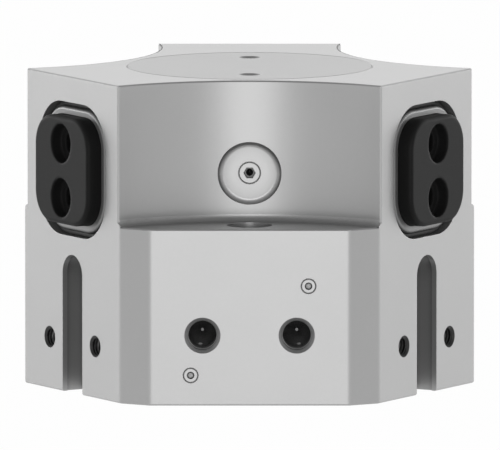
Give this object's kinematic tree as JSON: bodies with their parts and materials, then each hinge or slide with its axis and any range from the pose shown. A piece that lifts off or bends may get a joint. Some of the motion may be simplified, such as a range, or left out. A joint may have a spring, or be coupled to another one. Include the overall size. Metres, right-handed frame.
{
  "type": "centric gripper",
  "caption": "Pneumatic centric gripper: jaws slide radially in a one-piece housing, driven together by a wedge on a piston rod.",
  "frame": {"origin": "on the gripper's axis, at the mounting face on its underside", "axes": "+Z along the axis towards the cover, +Y towards one jaw, and the air ports face -Y"},
  "size_m": [0.0638, 0.0595, 0.045],
  "materials": {
    "housing": "fine matt anodised",
    "cover": "turned, anodised",
    "jaw": "ground, dark nitrided",
    "sleeve": "ground, hardened",
    "seal": "matt",
    "driver": "hardened",
    "piston": "turned",
    "guide_ring": "plain",
    "magnet": "plastic-bonded magnet",
    "end_cap": "turned, dark anodised",
    "fastener": "zinc plated"
  },
  "bodies": {
    "housing": {"housing": "housing", "top_cover": "cover", "cover_o_ring": "seal", "guide_sleeve_back": "sleeve", "guide_sleeve_left": "sleeve", "guide_sleeve_right": "sleeve", "jaw_seal_back": "seal", "jaw_seal_left": "seal", "jaw_seal_right": "seal", "rod_seal": "seal", "end_cap": "end_cap", "end_cap_o_ring": "seal", "retaining_ring": "fastener", "seal_air_screw": "fastener", "channel_plugs": "fastener"},
    "piston": {"piston": "piston", "piston_seal": "seal", "piston_guide_ring": "guide_ring", "magnet_ring": "magnet", "wedge_driver": "driver", "driver_screw": "fastener"},
    "jaw_back": {"jaw_back": "jaw"},
    "jaw_left": {"jaw_left": "jaw"},
    "jaw_right": {"jaw_right": "jaw"}
  },
  "joints": [
    {"name": "piston_slide", "type": "slide", "parent": "housing", "child": "piston", "axis": [0, 0, 1], "range_m": [0, 0.006]},
    {"name": "jaw_back_slide", "type": "slide", "parent": "housing", "child": "jaw_back", "axis": [0, 1, 0], "range_m": [0, 0.0039]},
    {"name": "jaw_left_slide", "type": "slide", "parent": "housing", "child": "jaw_left", "axis": [-0.866, -0.5, 0], "range_m": [0, 0.0039]},
    {"name": "jaw_right_slide", "type": "slide", "parent": "housing", "child": "jaw_right", "axis": [0.866, -0.5, 0], "range_m": [0, 0.0039]}
  ],
  "couplings": [
    {"joint": "jaw_back_slide", "follows": "piston_slide", "ratio": 0.65},
    {"joint": "jaw_left_slide", "follows": "piston_slide", "ratio": 0.65},
    {"joint": "jaw_right_slide", "follows": "piston_slide", "ratio": 0.65}
  ]
}
